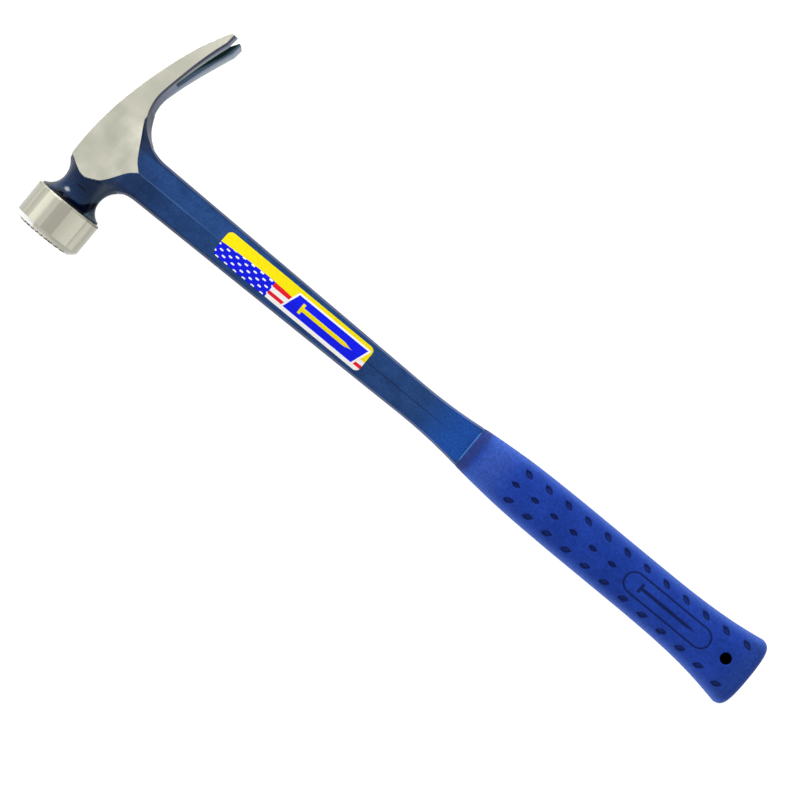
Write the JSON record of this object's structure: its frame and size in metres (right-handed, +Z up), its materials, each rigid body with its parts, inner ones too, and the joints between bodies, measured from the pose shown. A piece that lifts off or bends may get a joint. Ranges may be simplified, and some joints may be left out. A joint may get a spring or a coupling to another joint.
{
  "type": "claw hammer",
  "caption": "One-piece forged steel claw hammer with a milled face, long rip claws and a dimpled moulded grip, lying on its side.",
  "frame": {"origin": "on the ground under the middle of the hammer's bounding box, with the hammer lying on its side", "axes": "+X from the head along the handle to the butt, +Y from the striking face towards the claws, +Z up, square to the hammer's mid-plane"},
  "size_m": [0.4054, 0.1303, 0.0345],
  "materials": {
    "polished_steel": "ground and polished forged steel",
    "blue_enamel": "blue baked enamel, semi-gloss, fine orange peel",
    "blue_grip": "matte moulded blue vinyl with fine grain",
    "label_film": "printed film: yellow band, blue field with white dashes, red and white stripes"
  },
  "bodies": {
    "root": {"forged_steel_head_and_shank": "polished_steel", "blue_enamel_coat": "blue_enamel", "moulded_grip": "blue_grip", "printed_shank_label": "label_film"}
  },
  "joints": []
}
